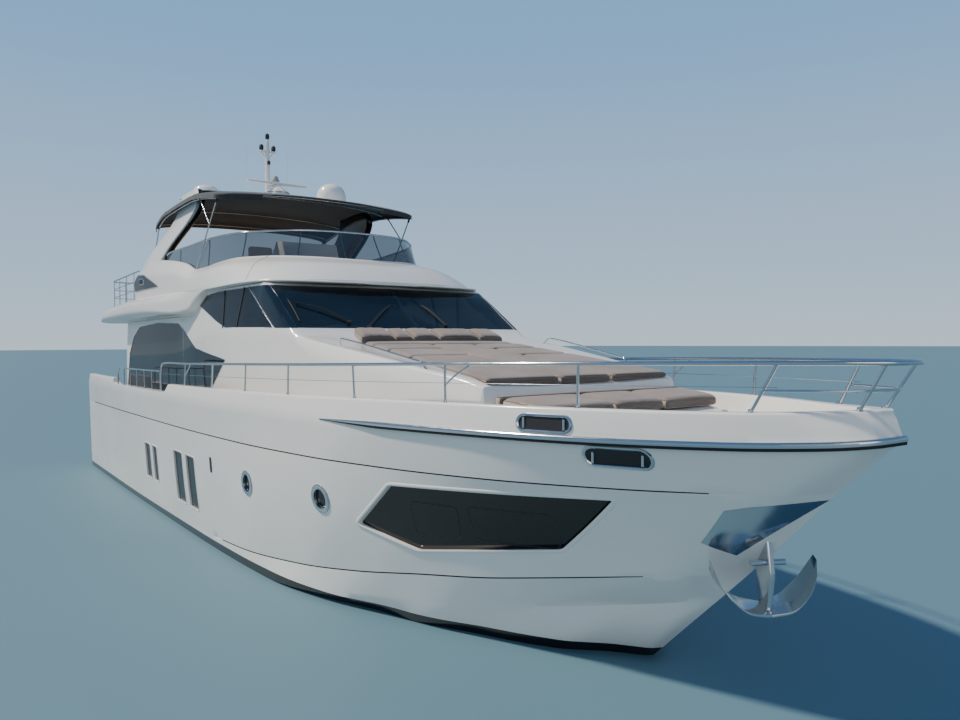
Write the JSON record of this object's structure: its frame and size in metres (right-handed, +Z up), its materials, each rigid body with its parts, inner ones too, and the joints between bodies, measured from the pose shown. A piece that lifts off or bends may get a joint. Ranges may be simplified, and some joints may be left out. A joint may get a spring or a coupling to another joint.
{
  "type": "flybridge motor yacht",
  "caption": "Flybridge motor yacht afloat, with sunpads on the foredeck, a canvas-topped flybridge, a tender garage and a bathing platform.",
  "frame": {"origin": "on the waterline, amidships on the centreline", "axes": "+X to the bow, +Y to port, +Z up"},
  "size_m": [26.3352, 6.3, 11.5181],
  "materials": {
    "bronze": "cast propeller bronze",
    "canvas": "woven acrylic canvas",
    "dark": "dark grained trim",
    "gelcoat": "moulded white gelcoat",
    "glass": "tinted safety glass",
    "leather": "pale leather",
    "smoked": "smoked acrylic sheet",
    "steel": "polished stainless steel",
    "teak": "oiled teak",
    "vinyl": "taupe outdoor upholstery"
  },
  "bodies": {
    "root": {"hull": "gelcoat", "hull_window_port": "glass", "hull_window_starboard": "glass", "deckhouse": "gelcoat", "saloon_glass_port": "glass", "helm_glass_port": "glass", "windscreen_port": "glass", "saloon_glass_starboard": "glass", "helm_glass_starboard": "glass", "windscreen_starboard": "glass", "saloon_door_fixed": "glass", "flybridge_moulding": "gelcoat", "fly_screen": "smoked", "fly_screen_rail": "steel", "radar_arch": "gelcoat", "canopy": "canvas", "canopy_frame": "steel", "mast": "gelcoat", "scanner_pedestal": "gelcoat", "satellite_dome": "gelcoat", "tv_dome": "gelcoat", "bow_rail": "steel", "sunpad_main": "vinyl", "sunpad_lower": "vinyl", "sunpad_backrest": "vinyl", "coachroof_rail_port": "steel", "coachroof_rail_starboard": "steel", "shaft_port": "steel", "shaft_starboard": "steel", "bathing_platform": "gelcoat", "anchor": "steel", "rubbing_strake": "steel", "cockpit_sofa": "vinyl", "cockpit_table": "teak", "fly_sofa": "vinyl", "fly_table": "teak", "fly_console": "gelcoat", "fly_helm_seat": "vinyl", "dashboard": "dark", "helm_seats": "leather", "saloon_sofa": "leather", "fly_rail": "steel", "side_rail_port": "steel", "side_rail_starboard": "steel"},
    "scanner": {"radar_scanner": "gelcoat"},
    "propeller_p": {"propeller_port": "bronze"},
    "propeller_s": {"propeller_starboard": "bronze"},
    "rudder_p": {"rudder_port": "bronze"},
    "rudder_s": {"rudder_starboard": "bronze"},
    "sliding_door": {"saloon_door_sliding": "glass"},
    "garage_lid": {"garage_door": "gelcoat"},
    "locker_lid": {"chain_locker_lid": "gelcoat"},
    "upper_wheel": {"fly_wheel": "dark"},
    "lower_wheel": {"helm_wheel": "dark"}
  },
  "joints": [
    {"name": "scanner_turn", "type": "hinge", "parent": "root", "child": "scanner", "pos_m": [-2.26, -0.1, 8.11], "axis": [0, 0, 1], "continuous": true},
    {"name": "propeller_turn_port", "type": "hinge", "parent": "root", "child": "propeller_p", "pos_m": [-9.3, 1.15, -1.42], "axis": [0.9903, 0, 0.1392], "continuous": true},
    {"name": "propeller_turn_starboard", "type": "hinge", "parent": "root", "child": "propeller_s", "pos_m": [-9.3, -1.15, -1.42], "axis": [0.9903, 0, 0.1392], "continuous": true},
    {"name": "rudder_turn_port", "type": "hinge", "parent": "root", "child": "rudder_p", "pos_m": [-10.45, 1.15, -1.2], "axis": [0, 0, 1], "range_deg": [-35, 35]},
    {"name": "rudder_turn_starboard", "type": "hinge", "parent": "root", "child": "rudder_s", "pos_m": [-10.45, -1.15, -1.2], "axis": [0, 0, 1], "range_deg": [-35, 35]},
    {"name": "saloon_door_slide", "type": "slide", "parent": "root", "child": "sliding_door", "axis": [0, 1, 0], "range_m": [0, 0.85]},
    {"name": "garage_door_lift", "type": "hinge", "parent": "root", "child": "garage_lid", "pos_m": [-11.665, 0, 1.865], "axis": [0, 1, 0], "range_deg": [0, 85]},
    {"name": "locker_lid_lift", "type": "hinge", "parent": "root", "child": "locker_lid", "pos_m": [10.905, 0, 2.945], "axis": [0, -1, 0], "range_deg": [0, 80]},
    {"name": "upper_wheel_turn", "type": "hinge", "parent": "root", "child": "upper_wheel", "pos_m": [0.44, -0.75, 5.96], "axis": [-0.866, 0, 0.5], "range_deg": [-540, 540]},
    {"name": "lower_wheel_turn", "type": "hinge", "parent": "root", "child": "lower_wheel", "pos_m": [2.53, -0.9, 3.97], "axis": [-0.8192, 0, 0.5736], "range_deg": [-540, 540]}
  ],
  "couplings": [
    {"joint": "rudder_turn_starboard", "follows": "rudder_turn_port", "ratio": 1}
  ]
}
